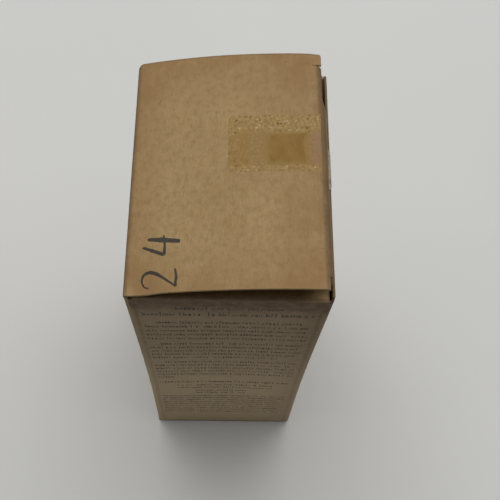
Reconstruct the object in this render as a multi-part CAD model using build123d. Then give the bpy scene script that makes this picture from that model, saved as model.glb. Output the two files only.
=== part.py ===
from build123d import *
import os
from math import asin, cos, radians, sin, tan

# A straight tuck-end folding carton, cut from one sheet of board and folded. Millimetres, +Z up.
# The main panels are the left and right walls, the side panels are the front and back walls.
# Both closures hinge on the left wall and tuck in behind the right wall.
# The origin is on the ground, in the middle of the sleeve's footprint.

# Driving dimensions of the sleeve
carton_width = 44.5  # outside, along the front and back walls
carton_depth = 59.0  # outside, along the left and right walls
carton_height = 120.7
board = 0.55  # board thickness
upright_fold_radius = 1.0  # outside radius of the four upright folds

# Glued seam, inside the right wall beside the back wall
seam_flap_width = 10.0
seam_flap_end_taper = 15.0  # degrees
seam_flap_end_gap = 2.0  # from each end of the sleeve to the flap's root
seam_glue_thickness = 0.06
seam_glue_margin = 1.5  # bare board around the glue line
seam_edge_trim = 1.1  # from the right wall's raw edge to the back wall's outer face
seam_edge_corner = 2.0  # radius of the two corners at that raw edge

# Closures
crease_gap = 0.05  # running gap at a creased edge, between two panels
panel_end_inset = 0.2  # from the left wall's corners to a closure's raw ends
panel_tuck_gap = 0.75  # between the tuck fold and the right wall's inner face
panel_worn_corner = 1.6  # radius of the worn corner at the back of the hinge
panel_fold_corner = 0.8  # radius of the corners at the tuck fold
tuck_length = 12.0
tuck_lean = 15.0  # degrees that a tucked flap leans inwards, away from the right wall
tuck_end_inset = 3.4  # from the left wall's corners, clear of the dust flaps' shoulders
tuck_corner_radius = 5.0
lid_ajar = 8.0  # degrees that the old lid stands open at rest
lid_bow = 1.7  # by how much the lid is arched above the straight line from its hinge to its fold

# Dust flaps, on the front and back walls
dust_length = 21.0
dust_clearance = 0.15  # between a dust flap and the closed panel over it
dust_hinge_side = 1.8  # from the corner at the closure's hinge to the flap's root
dust_shoulder_side = 1.3  # from the corner at the tuck flap to the flap's shoulder
dust_shoulder_depth = 3.0
dust_tuck_side = 4.0  # from the same corner to the flap beyond its shoulder
dust_hinge_taper = 28.0  # degrees, lets the flap rise under the opening closure
dust_tuck_taper = 8.0  # degrees
dust_shoulder_radius = 0.8
dust_corner_radius = 2.5

# Share of the closure's swing that each follower makes
dust_ratio = 0.48
tuck_ratio = 0.38

# What is left of a strip of gummed sealing tape
tape_width = 15.2
tape_from_back = 16.7  # from the left wall's back corner to the tape
residue_length = 21.4  # dried gum on the lid, measured towards the hinge
residue_thickness = 0.08
residue_edge = 0.4  # from the tuck fold to the gum
tape_ply_length = 9.8
tape_ply_width = 8.9
tape_ply_edge = 3.5  # from the tuck fold to the ply that still sticks
tape_ply_offset = 4.6  # from the tape's back edge to the ply
tape_ply_thickness = 0.06
remnant_length = 10.4
remnant_drop = 6.0  # how far the torn end reaches down the right wall
remnant_rise = 0.35  # how far it stands above the wall's rim
remnant_thickness = 0.12
remnant_from_back = 22.4

# Corners, levels and lengths that follow from the values above
front_left = Vector(-carton_width / 2, -carton_depth / 2)
front_right = Vector(carton_width / 2, -carton_depth / 2)
back_right = Vector(carton_width / 2, carton_depth / 2)
back_left = Vector(-carton_width / 2, carton_depth / 2)
panel_length = carton_width - board - panel_tuck_gap
dust_depth = board + dust_clearance  # from the closed panel's outer face to the dust flap's outer face
main_wall_end = board + crease_gap  # from the closed panel's outer face to the end of the hinge wall
side_wall_end = dust_depth + board + crease_gap
tuck_root = (board + crease_gap + board * sin(radians(tuck_lean))) / cos(radians(tuck_lean))
lid_radius = (panel_length**2 / 4 + lid_bow**2) / (2 * lid_bow)


def inward(direction):
    """The plan direction into the carton, for a wall that runs along this direction."""
    return Vector(-direction.Y, direction.X)


def wall_plan(start, corner, direction):
    """Plan of a wall from its start to its corner, with the rounded fold at that corner."""
    side = inward(direction)
    fold_start = corner - direction * upright_fold_radius
    fold_end = corner + side * upright_fold_radius
    fold_centre = fold_start + side * upright_fold_radius
    bulge = (direction - side).normalized()
    inner_radius = upright_fold_radius - board
    outline = [
        Line(start, fold_start),
        ThreePointArc(fold_start, fold_centre + bulge * upright_fold_radius, fold_end),
        Line(fold_end, fold_end - direction * board),
        ThreePointArc(
            fold_end - direction * board,
            fold_centre + bulge * inner_radius,
            fold_start + side * board,
        ),
        Line(fold_start + side * board, start + side * board),
        Line(start + side * board, start),
    ]
    return make_face(outline)


def upright(plan, bottom, top):
    """A wall raised from its plan between two heights."""
    return Pos(0, 0, bottom) * extrude(plan, amount=top - bottom)


def flap_frame(corner, direction, outer_gap=0.0):
    """A frame on a closure's crease: X along the wall, Y into the carton, Z up, from the outer corner."""
    origin = Vector(corner.X, corner.Y, carton_height - outer_gap)
    return Plane(origin=origin, x_dir=Vector(direction.X, direction.Y, 0), z_dir=(0, 0, 1))


def rounded_outline(points, rounded):
    """A plan outline with some of its corners rounded."""
    face = make_face(Polyline(*points, close=True))
    for index, radius in rounded.items():
        face = fillet(face.vertices().sort_by_distance(points[index])[0], radius)
    return face


def flat_flap(points, rounded):
    """A flap lying flat in its own frame, outer face up."""
    return extrude(rounded_outline(points, rounded), amount=-board)


def swung(flap, frame, angle):
    """A flap placed in its frame and turned about the crease, upwards for a positive angle."""
    return frame.location * Rot(X=angle) * flap


def mirrored_to_base(flap):
    """The same flap at the other end of the sleeve."""
    return mirror(flap, about=Plane.XY.offset(carton_height / 2))


def bowed_layer(start, end, low, high, first, last):
    """A layer of the arched lid. It runs between two distances from the hinge, between two heights
    above the lid's outer face, and between two distances along the hinge."""
    low_radius, high_radius = lid_radius + low, lid_radius + high
    angles = [asin((y - panel_length / 2) / lid_radius) for y in (start, end)]
    angles.insert(1, sum(angles) / 2)
    lower, upper = [
        [
            (panel_length / 2 + r * sin(a), lid_bow - lid_radius + r * cos(a))
            for a in angles
        ]
        for r in (low_radius, high_radius)
    ]
    outline = [
        ThreePointArc(*upper),
        Line(upper[2], lower[2]),
        ThreePointArc(*reversed(lower)),
        Line(lower[0], upper[0]),
    ]
    section = Plane.YZ * make_face(outline)
    return Pos(first, 0, 0) * extrude(section, amount=last - first)


# Walls. Each one but the right carries the upright fold at its end, anticlockwise seen from above.
front_start = front_left + Vector(upright_fold_radius, 0)
front_wall = upright(
    wall_plan(front_start, front_right, Vector(1, 0)),
    side_wall_end,
    carton_height - side_wall_end,
)
seam_layer = board + seam_glue_thickness
seam_corner = back_right - Vector(seam_layer, 0)
back_start = seam_corner - Vector(upright_fold_radius, 0)
back_wall = upright(
    wall_plan(back_start, back_left, Vector(-1, 0)),
    side_wall_end,
    carton_height - side_wall_end,
)
left_start = back_left - Vector(0, upright_fold_radius)
left_wall = upright(
    wall_plan(left_start, front_left, Vector(0, -1)),
    main_wall_end,
    carton_height - main_wall_end,
)
right_outline = [
    (front_right.Y + upright_fold_radius, 0),
    (back_right.Y - seam_edge_trim, 0),
    (back_right.Y - seam_edge_trim, carton_height),
    (front_right.Y + upright_fold_radius, carton_height),
]
right_face = rounded_outline(right_outline, {1: seam_edge_corner, 2: seam_edge_corner})
right_wall = Pos(front_right.X, 0, 0) * extrude(Plane.YZ * right_face, amount=-board)

# Seam flap: a fold off the back wall that lies inside the right wall, with tapered ends
seam_start = seam_corner - Vector(0, upright_fold_radius + seam_flap_width)
seam_flap_blank = upright(
    wall_plan(seam_start, seam_corner, Vector(0, 1)),
    seam_flap_end_gap,
    carton_height - seam_flap_end_gap,
)
seam_root_y = seam_corner.Y - upright_fold_radius
seam_cut_y = seam_start.Y - crease_gap
seam_drop = (seam_root_y - seam_cut_y) * tan(radians(seam_flap_end_taper))
seam_cutter_outline = [
    (seam_root_y, carton_height - seam_flap_end_gap),
    (seam_cut_y, carton_height - seam_flap_end_gap - seam_drop),
    (seam_cut_y, carton_height),
    (seam_root_y, carton_height),
]
seam_cutter = extrude(
    Plane.YZ * rounded_outline(seam_cutter_outline, {}), amount=carton_width, both=True
)
seam_flap = seam_flap_blank - seam_cutter - mirrored_to_base(seam_cutter)

glue_height = carton_height - 2 * (seam_flap_end_gap + seam_drop + seam_glue_margin)
glue_width = seam_flap_width - 2 * seam_glue_margin
glue_y = seam_start.Y + seam_flap_width / 2
seam_glue = Pos(seam_corner.X + seam_glue_thickness / 2, glue_y, carton_height / 2) * Box(
    seam_glue_thickness, glue_width, glue_height
)

# Closure panel and its tuck flap, in the frame of the left wall's crease
lid_frame = flap_frame(back_left, Vector(0, -1))
panel_start, panel_end = panel_end_inset, carton_depth - panel_end_inset
panel_outline = [
    (panel_start, 0),
    (panel_end, 0),
    (panel_end, panel_length),
    (panel_start, panel_length),
]
panel_corners = {0: panel_worn_corner, 2: panel_fold_corner, 3: panel_fold_corner}
panel_flat = flat_flap(panel_outline, panel_corners)
panel_bowed = bowed_layer(0, panel_length, -board, 0, panel_start, panel_end)
for index, radius in panel_corners.items():
    corner_edge = panel_bowed.edges().sort_by_distance(Vector(*panel_outline[index], -board / 2))[0]
    panel_bowed = fillet(corner_edge, radius)
tuck_outline = [
    (tuck_end_inset, tuck_root),
    (carton_depth - tuck_end_inset, tuck_root),
    (carton_depth - tuck_end_inset, tuck_length),
    (tuck_end_inset, tuck_length),
]
tuck_flat = Pos(0, panel_length, 0) * Rot(X=-90 - tuck_lean) * flat_flap(
    tuck_outline, {2: tuck_corner_radius, 3: tuck_corner_radius}
)
lid_panel = swung(panel_bowed, lid_frame, lid_ajar)
tuck_at_rest = (
    Pos(0, panel_length, 0) * Rot(X=tuck_ratio * lid_ajar) * Pos(0, -panel_length, 0) * tuck_flat
)
lid_tuck_flap = swung(tuck_at_rest, lid_frame, lid_ajar)
bottom_panel = mirrored_to_base(swung(panel_flat, lid_frame, 0))
bottom_tuck_flap = mirrored_to_base(swung(tuck_flat, lid_frame, 0))


def dust_flap(hinge_end_first):
    """A dust flap lying flat, with the closure's hinge at the start or at the end of its wall."""
    hinge_slant = dust_length * tan(radians(dust_hinge_taper))
    tuck_slant = (dust_length - dust_shoulder_depth) * tan(radians(dust_tuck_taper))
    outline = [
        (dust_hinge_side, 0),
        (carton_width - dust_shoulder_side, 0),
        (carton_width - dust_shoulder_side, dust_shoulder_depth),
        (carton_width - dust_tuck_side, dust_shoulder_depth),
        (carton_width - dust_tuck_side - tuck_slant, dust_length),
        (dust_hinge_side + hinge_slant, dust_length),
    ]
    if not hinge_end_first:
        outline = [(carton_width - x, y) for x, y in outline]
    corners = {2: dust_shoulder_radius, 4: dust_corner_radius, 5: dust_corner_radius}
    return flat_flap(outline, corners)


front_frame = flap_frame(front_left, Vector(1, 0), dust_depth)
back_frame = flap_frame(back_right, Vector(-1, 0), dust_depth)
dust_rise = dust_ratio * lid_ajar
top_front_dust_flap = swung(dust_flap(True), front_frame, dust_rise)
top_back_dust_flap = swung(dust_flap(False), back_frame, dust_rise)
bottom_front_dust_flap = mirrored_to_base(swung(dust_flap(True), front_frame, 0))
bottom_back_dust_flap = mirrored_to_base(swung(dust_flap(False), back_frame, 0))

# Sealing tape: dried gum on the lid, a ply of the paper still stuck to it, and a torn end on the wall
gum_end = panel_length - residue_edge
gum_layer = bowed_layer(
    gum_end - residue_length,
    gum_end,
    0,
    residue_thickness,
    tape_from_back,
    tape_from_back + tape_width,
)
tape_residue = swung(gum_layer, lid_frame, lid_ajar)
ply_end = panel_length - tape_ply_edge
ply_start_x = tape_from_back + tape_ply_offset
ply_layer = bowed_layer(
    ply_end - tape_ply_length,
    ply_end,
    residue_thickness,
    residue_thickness + tape_ply_thickness,
    ply_start_x,
    ply_start_x + tape_ply_width,
)
tape_ply = swung(ply_layer, lid_frame, lid_ajar)
remnant_end_y = back_right.Y - remnant_from_back
tape_remnant = Pos(back_right.X, remnant_end_y, carton_height - remnant_drop) * Box(
    remnant_thickness,
    remnant_length,
    remnant_drop + remnant_rise,
    align=(Align.MIN, Align.MAX, Align.MIN),
)

nodes = {
    "left_wall": left_wall,
    "front_wall": front_wall,
    "right_wall": right_wall,
    "back_wall": back_wall,
    "seam_flap": seam_flap,
    "seam_glue": seam_glue,
    "lid_panel": lid_panel,
    "lid_tuck_flap": lid_tuck_flap,
    "top_front_dust_flap": top_front_dust_flap,
    "top_back_dust_flap": top_back_dust_flap,
    "bottom_panel": bottom_panel,
    "bottom_tuck_flap": bottom_tuck_flap,
    "bottom_front_dust_flap": bottom_front_dust_flap,
    "bottom_back_dust_flap": bottom_back_dust_flap,
    "tape_residue": tape_residue,
    "tape_ply": tape_ply,
    "tape_remnant": tape_remnant,
}

os.makedirs("parts", exist_ok=True)
for node, shape in nodes.items():
    export_step(shape, f"parts/{node}.step")
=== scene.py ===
from math import cos, pi, radians, sin, tan

import bmesh
import bpy
import numpy as np
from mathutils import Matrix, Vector


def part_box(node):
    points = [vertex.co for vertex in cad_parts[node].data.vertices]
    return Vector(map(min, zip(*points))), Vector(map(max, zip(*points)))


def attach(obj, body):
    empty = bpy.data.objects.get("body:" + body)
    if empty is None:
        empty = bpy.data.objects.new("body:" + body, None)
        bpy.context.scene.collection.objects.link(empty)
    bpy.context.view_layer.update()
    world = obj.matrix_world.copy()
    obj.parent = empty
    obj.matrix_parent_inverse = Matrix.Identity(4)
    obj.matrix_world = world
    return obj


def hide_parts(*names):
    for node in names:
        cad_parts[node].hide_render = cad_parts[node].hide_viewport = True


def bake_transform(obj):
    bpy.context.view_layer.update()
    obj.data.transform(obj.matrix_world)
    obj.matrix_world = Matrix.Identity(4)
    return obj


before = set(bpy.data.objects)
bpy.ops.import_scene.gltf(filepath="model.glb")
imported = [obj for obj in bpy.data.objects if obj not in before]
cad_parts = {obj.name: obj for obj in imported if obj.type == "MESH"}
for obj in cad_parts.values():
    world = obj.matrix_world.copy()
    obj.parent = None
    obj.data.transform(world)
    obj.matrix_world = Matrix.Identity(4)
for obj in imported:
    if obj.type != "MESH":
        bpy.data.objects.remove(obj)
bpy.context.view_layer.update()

# ---------------------------------------------------------------------------------------------
# The blank. One die-cut sheet of unbleached kraft folding board makes the whole carton.
# Its paper pattern is laid out over the flat blank, so fibres and stains run on round each fold.
# "sheet" holds a point's place on the blank and its depth in the board, in mm.
mm = 0.001  # every size below is in mm, and the frame is in metres
board = (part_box("right_wall")[1].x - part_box("right_wall")[0].x) / mm

kraft_light = (0.452, 0.312, 0.150, 1)
kraft_mid = (0.392, 0.264, 0.120, 1)
kraft_dark = (0.290, 0.182, 0.076, 1)
kraft_stain = (0.300, 0.170, 0.072, 1)
kraft_pale = (0.490, 0.375, 0.215, 1)
kraft_faded = (0.390, 0.322, 0.222, 1)
# the dark brown below stands for dirt and for painted shade alike
grime_and_shade_brown = (0.108, 0.067, 0.036, 1)
shive_brown = (0.120, 0.072, 0.036, 1)
chip_grey = (0.400, 0.310, 0.195, 1)
cut_edge_grey = (0.310, 0.235, 0.128, 1)


def shader_node(tree, kind, inputs=(), **settings):
    """A shader node with its settings and inputs. An input is a value or another node's output."""
    made = tree.nodes.new(kind)
    for key, value in settings.items():
        setattr(made, key, value)
    for key, value in dict(inputs).items():
        if isinstance(value, bpy.types.NodeSocket):
            tree.links.new(value, made.inputs[key])
        else:
            made.inputs[key].default_value = value
    return made


def mixed(tree, share, first, second):
    """The second colour over the first, by a share from 0 to 1."""
    made = shader_node(tree, "ShaderNodeMix", {0: share, 6: first, 7: second}, data_type="RGBA")
    return made.outputs[2]


def stepped(tree, value, low, high, out_low=0.0, out_high=1.0):
    """A value brought from one range to another, cut off at both ends."""
    inputs = {"Value": value, "From Min": low, "From Max": high}
    inputs |= {"To Min": out_low, "To Max": out_high}
    return shader_node(tree, "ShaderNodeMapRange", inputs).outputs[0]


def computed(tree, operation, first, second):
    """One operation on two values."""
    made = shader_node(tree, "ShaderNodeMath", {0: first, 1: second}, operation=operation)
    return made.outputs[0]


def times(tree, first, second):
    """The product of two values."""
    return computed(tree, "MULTIPLY", first, second)


def plus(tree, first, second):
    """The sum of two values."""
    return computed(tree, "ADD", first, second)


def noisy(tree, place, scale, detail=2.0, roughness=0.5, turn=0.0, stretch=(1, 1, 1)):
    """Paper noise over a place, turned and stretched for fibres."""
    inputs = {"Vector": place, "Rotation": (0, 0, turn), "Scale": stretch}
    laid = shader_node(tree, "ShaderNodeMapping", inputs).outputs[0]
    inputs = {"Vector": laid, "Scale": scale, "Detail": detail, "Roughness": roughness}
    return shader_node(tree, "ShaderNodeTexNoise", inputs).outputs["Fac"]


def specks(tree, place, per_mm, size, share, turn=0.0, stretch=(1, 1, 1)):
    """Scattered specks: about one in each cell, kept in a share of the cells."""
    inputs = {"Vector": place, "Rotation": (0, 0, turn), "Scale": stretch}
    laid = shader_node(tree, "ShaderNodeMapping", inputs).outputs[0]
    cells = shader_node(tree, "ShaderNodeTexVoronoi", {"Vector": laid, "Scale": per_mm})
    drawn = shader_node(tree, "ShaderNodeSeparateColor", {0: cells.outputs["Color"]}).outputs[0]
    near = stepped(tree, cells.outputs["Distance"], size, size * 0.5)
    kept = stepped(tree, drawn, 1 - share, 1 - share + 0.02)
    return times(tree, near, kept)


def new_finish(name, roughness):
    """An empty dull material and its tree and shader."""
    material = bpy.data.materials.new(name)
    material.use_nodes = True
    tree = material.node_tree
    tree.nodes.clear()
    out = tree.nodes.new("ShaderNodeOutputMaterial")
    shader = tree.nodes.new("ShaderNodeBsdfPrincipled")
    shader.inputs["Specular IOR Level"].default_value = 0.25
    shader.inputs["Roughness"].default_value = roughness
    tree.links.new(shader.outputs[0], out.inputs[0])
    return material, tree, shader


def relief(tree, shader, height, depth):
    """Fine relief from a height in the nodes, depth in metres."""
    bump = shader_node(tree, "ShaderNodeBump", {"Strength": 1.0, "Distance": depth, "Height": height})
    tree.links.new(bump.outputs[0], shader.inputs["Normal"])


def attribute(tree, name, output):
    """A value stored on the mesh."""
    return shader_node(tree, "ShaderNodeAttribute", attribute_name=name).outputs[output]


def fibre_web(tree, place, seed_turn=0.0):
    """Thin crossing fibres, from stretched noise in four directions."""
    total = 0.0
    for turn in (0.35, 1.15, 1.95, 2.75):
        streak = noisy(tree, place, 1.0, 1.0, 0.5, turn + seed_turn, (0.42, 3.6, 1))
        thin = stepped(tree, streak, 0.60, 0.74)
        total = computed(tree, "MAXIMUM", thin, total)
    return total


def kraft_finish(name):
    """Aged kraft board: mottled pulp, crossing fibres, dark shives, rubbed folds, stained margins, and dirt,
    painted shade and a painted highlight where the mesh's values ask for them.
    """
    material, tree, shader = new_finish(name, 0.86)
    place = attribute(tree, "sheet", "Vector")
    rub_and_highlight = attribute(tree, "rub_and_highlight", "Fac")
    margin = attribute(tree, "margin", "Fac")
    depth = shader_node(tree, "ShaderNodeSeparateXYZ", {0: place}).outputs[2]
    faded = attribute(tree, "faded", "Fac")
    grime_and_shade = attribute(tree, "grime_and_shade", "Fac")
    # mottled pulp, with pale and dark fibres in it
    cloud = noisy(tree, place, 0.075, 4.0, 0.62)
    pulp = noisy(tree, place, 0.62, 5.0, 0.68)
    grain = noisy(tree, place, 4.2, 3.0, 0.7)
    web = fibre_web(tree, place)
    dark_web = fibre_web(tree, place, 0.5)
    colour = mixed(tree, stepped(tree, cloud, 0.36, 0.64), kraft_mid, kraft_light)
    colour = mixed(tree, stepped(tree, pulp, 0.46, 0.70, 0.0, 0.80), colour, kraft_dark)
    colour = mixed(tree, stepped(tree, grain, 0.46, 0.70, 0.0, 0.55), colour, kraft_dark)
    colour = mixed(tree, times(tree, web, 0.26), colour, kraft_pale)
    colour = mixed(tree, times(tree, dark_web, 0.36), colour, kraft_dark)
    # stained margins, and walls faded by light
    patchy = stepped(tree, noisy(tree, place, 0.2, 3.0), 0.26, 0.56, 0.25, 1.0)
    stain = times(tree, margin, patchy)
    colour = mixed(tree, times(tree, stain, 0.74), colour, kraft_stain)
    colour = mixed(tree, times(tree, faded, 0.62), colour, kraft_faded)
    # shives and dots of unpulped wood
    short_shives = specks(tree, place, 0.42, 0.10, 0.30, 0.3, (0.55, 1.7, 1))
    long_shives = specks(tree, place, 0.20, 0.055, 0.22, 1.9, (0.28, 1.6, 1))
    dots = specks(tree, place, 0.75, 0.11, 0.16)
    marks = computed(tree, "MAXIMUM", computed(tree, "MAXIMUM", short_shives, long_shives), dots)
    colour = mixed(tree, times(tree, marks, 0.55), colour, shive_brown)
    # the greyer inner face, and the plies at a cut edge
    inner = stepped(tree, depth, board * 0.85, board * 0.95)
    colour = mixed(tree, times(tree, inner, 0.55), colour, chip_grey)
    outer = computed(tree, "SUBTRACT", 1.0, inner)
    cut = times(tree, stepped(tree, depth, 0.03, 0.10), outer)
    plies = noisy(tree, place, 1.0, 2.0, 0.6, 0.0, (1.5, 1.5, 22))
    edge_colour = mixed(tree, stepped(tree, plies, 0.40, 0.62), kraft_dark, cut_edge_grey)
    colour = mixed(tree, cut, colour, edge_colour)
    # rubbed folds, with a pale painted highlight on the dust flaps' worn shoulders, then dirt and painted shade
    # in a dark brown, where the mesh's values ask for them
    rough = stepped(tree, noisy(tree, place, 1.6, 4.0, 0.7), 0.34, 0.60)
    rough_rub_and_highlight = times(tree, rub_and_highlight, rough)
    colour = mixed(tree, times(tree, rough_rub_and_highlight, 0.60), colour, kraft_pale)
    soil_shade_patches = stepped(tree, noisy(tree, place, 0.45, 4.0, 0.65), 0.30, 0.62, 0.72, 1.0)
    colour = mixed(tree, times(tree, grime_and_shade, soil_shade_patches), colour, grime_and_shade_brown)
    tree.links.new(colour, shader.inputs["Base Color"])
    tree.links.new(stepped(tree, grain, 0.3, 0.7, 0.78, 0.93), shader.inputs["Roughness"])
    height = plus(tree, times(tree, web, 0.35), times(tree, pulp, 0.9))
    height = plus(tree, height, times(tree, grain, 0.5))
    relief(tree, shader, height, 0.045 * mm)
    return material


kraft_board = kraft_finish("kraft_board")

cut_round = 0.13  # how far a raw edge is rounded off by handling
rim_profile = ((0.45, 0.09), (0.12, 0.30), (0.0, 0.5), (0.12, 0.70), (0.45, 0.91))  # inset, share of depth
edge_fuzz = 0.16  # share of the rounding that loose fibres add or take away
weld = 1e-7  # m within which two points are one


def ragged(a, b, scale):
    """A rough value from -1 to 1 that changes over a short distance."""
    first = np.sin(a * 5.1 / scale + 1.7 * np.sin(b * 3.3 / scale))
    second = np.sin(b * 4.3 / scale + 2.1 * np.sin(a * 2.7 / scale + 0.8))
    third = np.sin((a + b) * 9.7 / scale + 1.3)
    return (first + second + 0.6 * third) / 2.6


def finish_mesh(name, points, faces, stored, material, sharp=42):
    """An object from points in mm and faces, with its stored values, smooth but for its sharp edges."""
    mesh = bpy.data.meshes.new(name)
    mesh.from_pydata([tuple(p) for p in points * mm], [], faces)
    for key, values in stored.items():
        kind = "FLOAT_VECTOR" if values.ndim == 2 else "FLOAT"
        layer = mesh.attributes.new(key, kind, "POINT")
        field = "vector" if values.ndim == 2 else "value"
        layer.data.foreach_set(field, values.astype(np.float32).ravel())
    work = bmesh.new()
    work.from_mesh(mesh)
    bmesh.ops.remove_doubles(work, verts=work.verts, dist=weld)
    bmesh.ops.dissolve_degenerate(work, edges=work.edges, dist=weld)
    bmesh.ops.recalc_face_normals(work, faces=work.faces)
    work.to_mesh(mesh)
    work.free()
    mesh.shade_smooth()
    mesh.set_sharp_from_angle(angle=radians(sharp))
    mesh.materials.append(material)
    made = bpy.data.objects.new(name, mesh)
    bpy.context.scene.collection.objects.link(made)
    return made


def around_grid(rows, columns):
    """The places (row, column) round the outline of a grid, in order."""
    ring = [(0, j) for j in range(columns - 1)] + [(i, columns - 1) for i in range(rows - 1)]
    ring += [(rows - 1, j) for j in range(columns - 1, 0, -1)]
    return ring + [(i, 0) for i in range(rows - 1, 0, -1)]


def closed_sheet(
    name, place, spans, rows, columns, raw, blank, rub_and_highlight, margin, material, grime_and_shade=None, faded=0.0
):
    """A sheet with thickness. Rows run along b, and each row spans its own stretch of a.
    place(a, b, d) gives a point at depth d. raw names the sides with a rounded cut edge."""
    rows = np.array(rows, float)
    if "b0" in raw:
        rows[0] += cut_round
    if "b1" in raw:
        rows[-1] -= cut_round
    first, last = spans(rows)
    first = first + (cut_round if "a0" in raw else 0)
    last = last - (cut_round if "a1" in raw else 0)
    a = first[:, None] + (last - first)[:, None] * np.array(columns)[None, :]
    b = np.repeat(rows[:, None], a.shape[1], axis=1)
    n_rows, n_columns = a.shape
    ring = around_grid(n_rows, n_columns)
    ring_a = np.array([a[i, j] for i, j in ring])
    ring_b = np.array([b[i, j] for i, j in ring])
    last_row, last_column = n_rows - 1, n_columns - 1
    out_a = np.array([("a1" in raw and j == last_column) - float("a0" in raw and j == 0) for i, j in ring])
    out_b = np.array([("b1" in raw and i == last_row) - float("b0" in raw and i == 0) for i, j in ring])
    all_a, all_b, all_d = [a.ravel()], [b.ravel()], [np.zeros(a.size)]
    for inset, share in rim_profile:
        fuzz = edge_fuzz * ragged(ring_a + 7 * share, ring_b - 5 * share, 1.1)
        reach = cut_round * (1 - inset + fuzz * (1 - inset) - edge_fuzz)
        all_a.append(ring_a + out_a * reach)
        all_b.append(ring_b + out_b * reach)
        all_d.append(np.full(len(ring), board * share))
    all_a.append(a.ravel())
    all_b.append(b.ravel())
    all_d.append(np.full(a.size, board))
    aa, bb, dd = np.concatenate(all_a), np.concatenate(all_b), np.concatenate(all_d)
    points = place(aa, bb, dd)
    faces = []
    size, around = a.size, len(ring)
    inner_start = size + around * len(rim_profile)
    for i in range(n_rows - 1):
        for j in range(n_columns - 1):
            k = i * n_columns + j
            faces.append((k, k + 1, k + n_columns + 1, k + n_columns))
            faces.append(tuple(inner_start + v for v in (k, k + n_columns, k + n_columns + 1, k + 1)))
    loops = [[i * n_columns + j for i, j in ring]]
    loops += [[size + around * m + k for k in range(around)] for m in range(len(rim_profile))]
    loops += [[inner_start + i * n_columns + j for i, j in ring]]
    for low, high in zip(loops, loops[1:]):
        for k in range(around):
            n = (k + 1) % around
            faces.append((low[k], high[k], high[n], low[n]))
    blank_a, blank_b = blank(aa, bb)
    rub_share = np.where(dd < 0.7 * board, 1.0, 0.25)  # the inner face is rubbed far less
    stored = {
        "sheet": np.stack([blank_a, blank_b, dd], axis=1),
        "rub_and_highlight": np.clip(rub_and_highlight(aa, bb), 0, 1) * rub_share,
        "margin": np.clip(margin(aa, bb), 0, 1),
        "grime_and_shade": np.clip(grime_and_shade(aa, bb), 0, 1) if grime_and_shade else 0 * aa,
        "faded": np.full(len(aa), float(faded)),
    }
    return finish_mesh(name, points, faces, stored, material)

# ---------------------------------------------------------------------------------------------
# The sleeve: four walls and a seam flap, creased into a tube and glued inside the right wall.
# Each wall but the right one ends in its rounded upright fold, rubbed pale by handling.
left_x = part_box("left_wall")[0].x / mm
right_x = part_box("right_wall")[1].x / mm
front_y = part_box("front_wall")[0].y / mm
back_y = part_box("back_wall")[1].y / mm
carton_width = right_x - left_x
carton_depth = back_y - front_y
carton_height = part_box("right_wall")[1].z / mm
upright_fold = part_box("right_wall")[0].y / mm - front_y
fold_arc = upright_fold * pi / 2
seam_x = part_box("seam_flap")[1].x / mm
seam_reach = back_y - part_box("seam_flap")[0].y / mm - upright_fold
wall_sag = {"left_wall": 0.30, "front_wall": 0.26, "right_wall": 0.22, "back_wall": 0.30, "seam_flap": 0.0}
walls = {
    # name: start of its straight part in plan, direction, end corner or None
    "seam_flap": ((seam_x, back_y - upright_fold - seam_reach), (0, 1), (seam_x, back_y)),
    "back_wall": ((seam_x - upright_fold, back_y), (-1, 0), (left_x, back_y)),
    "left_wall": ((left_x, back_y - upright_fold), (0, -1), (left_x, front_y)),
    "front_wall": ((left_x + upright_fold, front_y), (1, 0), (right_x, front_y)),
    "right_wall": ((right_x, front_y + upright_fold), (0, 1), None),
}
waist = 0.024  # share of its width that the sleeve has drawn in, half way up its front
waist_end = 5.0  # y in mm, behind which the sleeve has kept its width
wall_ripple = 0.09
worn_end = 2.0  # radius of the right wall's worn corners
end_slant = tan(radians(15))  # of the seam flap's two ends
fold_steps = np.array([0.17, 0.33, 0.5, 0.67, 0.83, 1])
wall_places, wall_blank = {}, {}
blank_a = 0.0

wave_count = 7
waves = np.random.default_rng(11)
wave_turns = waves.uniform(0, 2 * pi, wave_count)
wave_phases = waves.uniform(0, 2 * pi, wave_count)
wave_lengths = waves.uniform(9, 34, wave_count)


def uneven(a, b):
    """The slight waviness of old board over the blank, from -1 to 1."""
    total = 0
    for turn, phase, length in zip(wave_turns, wave_phases, wave_lengths):
        total = total + np.sin((a * cos(turn) + b * sin(turn)) * 2 * pi / length + phase)
    return total / wave_count


def spread(start, end, step, close=0.35, near=2.0):
    """Stations from start to end, closer together near both ends."""
    inner = np.linspace(start + near, end - near, max(2, int(round((end - start - 2 * near) / step)) + 1))
    at_start = np.arange(start, start + near, close)
    at_end = end - np.arange(0, near, close)[::-1]
    return np.concatenate([at_start, inner, at_end])


def smooth(value):
    """A share from 0 to 1 with soft ends."""
    value = np.clip(value, 0, 1)
    return value * value * (3 - 2 * value)


def near_line(distance, reach):
    """1 on a line, and falling to 0 at the reach."""
    return np.clip(1 - np.abs(distance) / reach, 0, 1) ** 1.5


def corner_drop(distance, radius):
    """How far a rounded corner has drawn a side in, at a distance from the end."""
    left = np.clip(radius - distance, 0, radius)
    return radius - np.sqrt(np.clip(radius**2 - left**2, 0, None))


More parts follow.
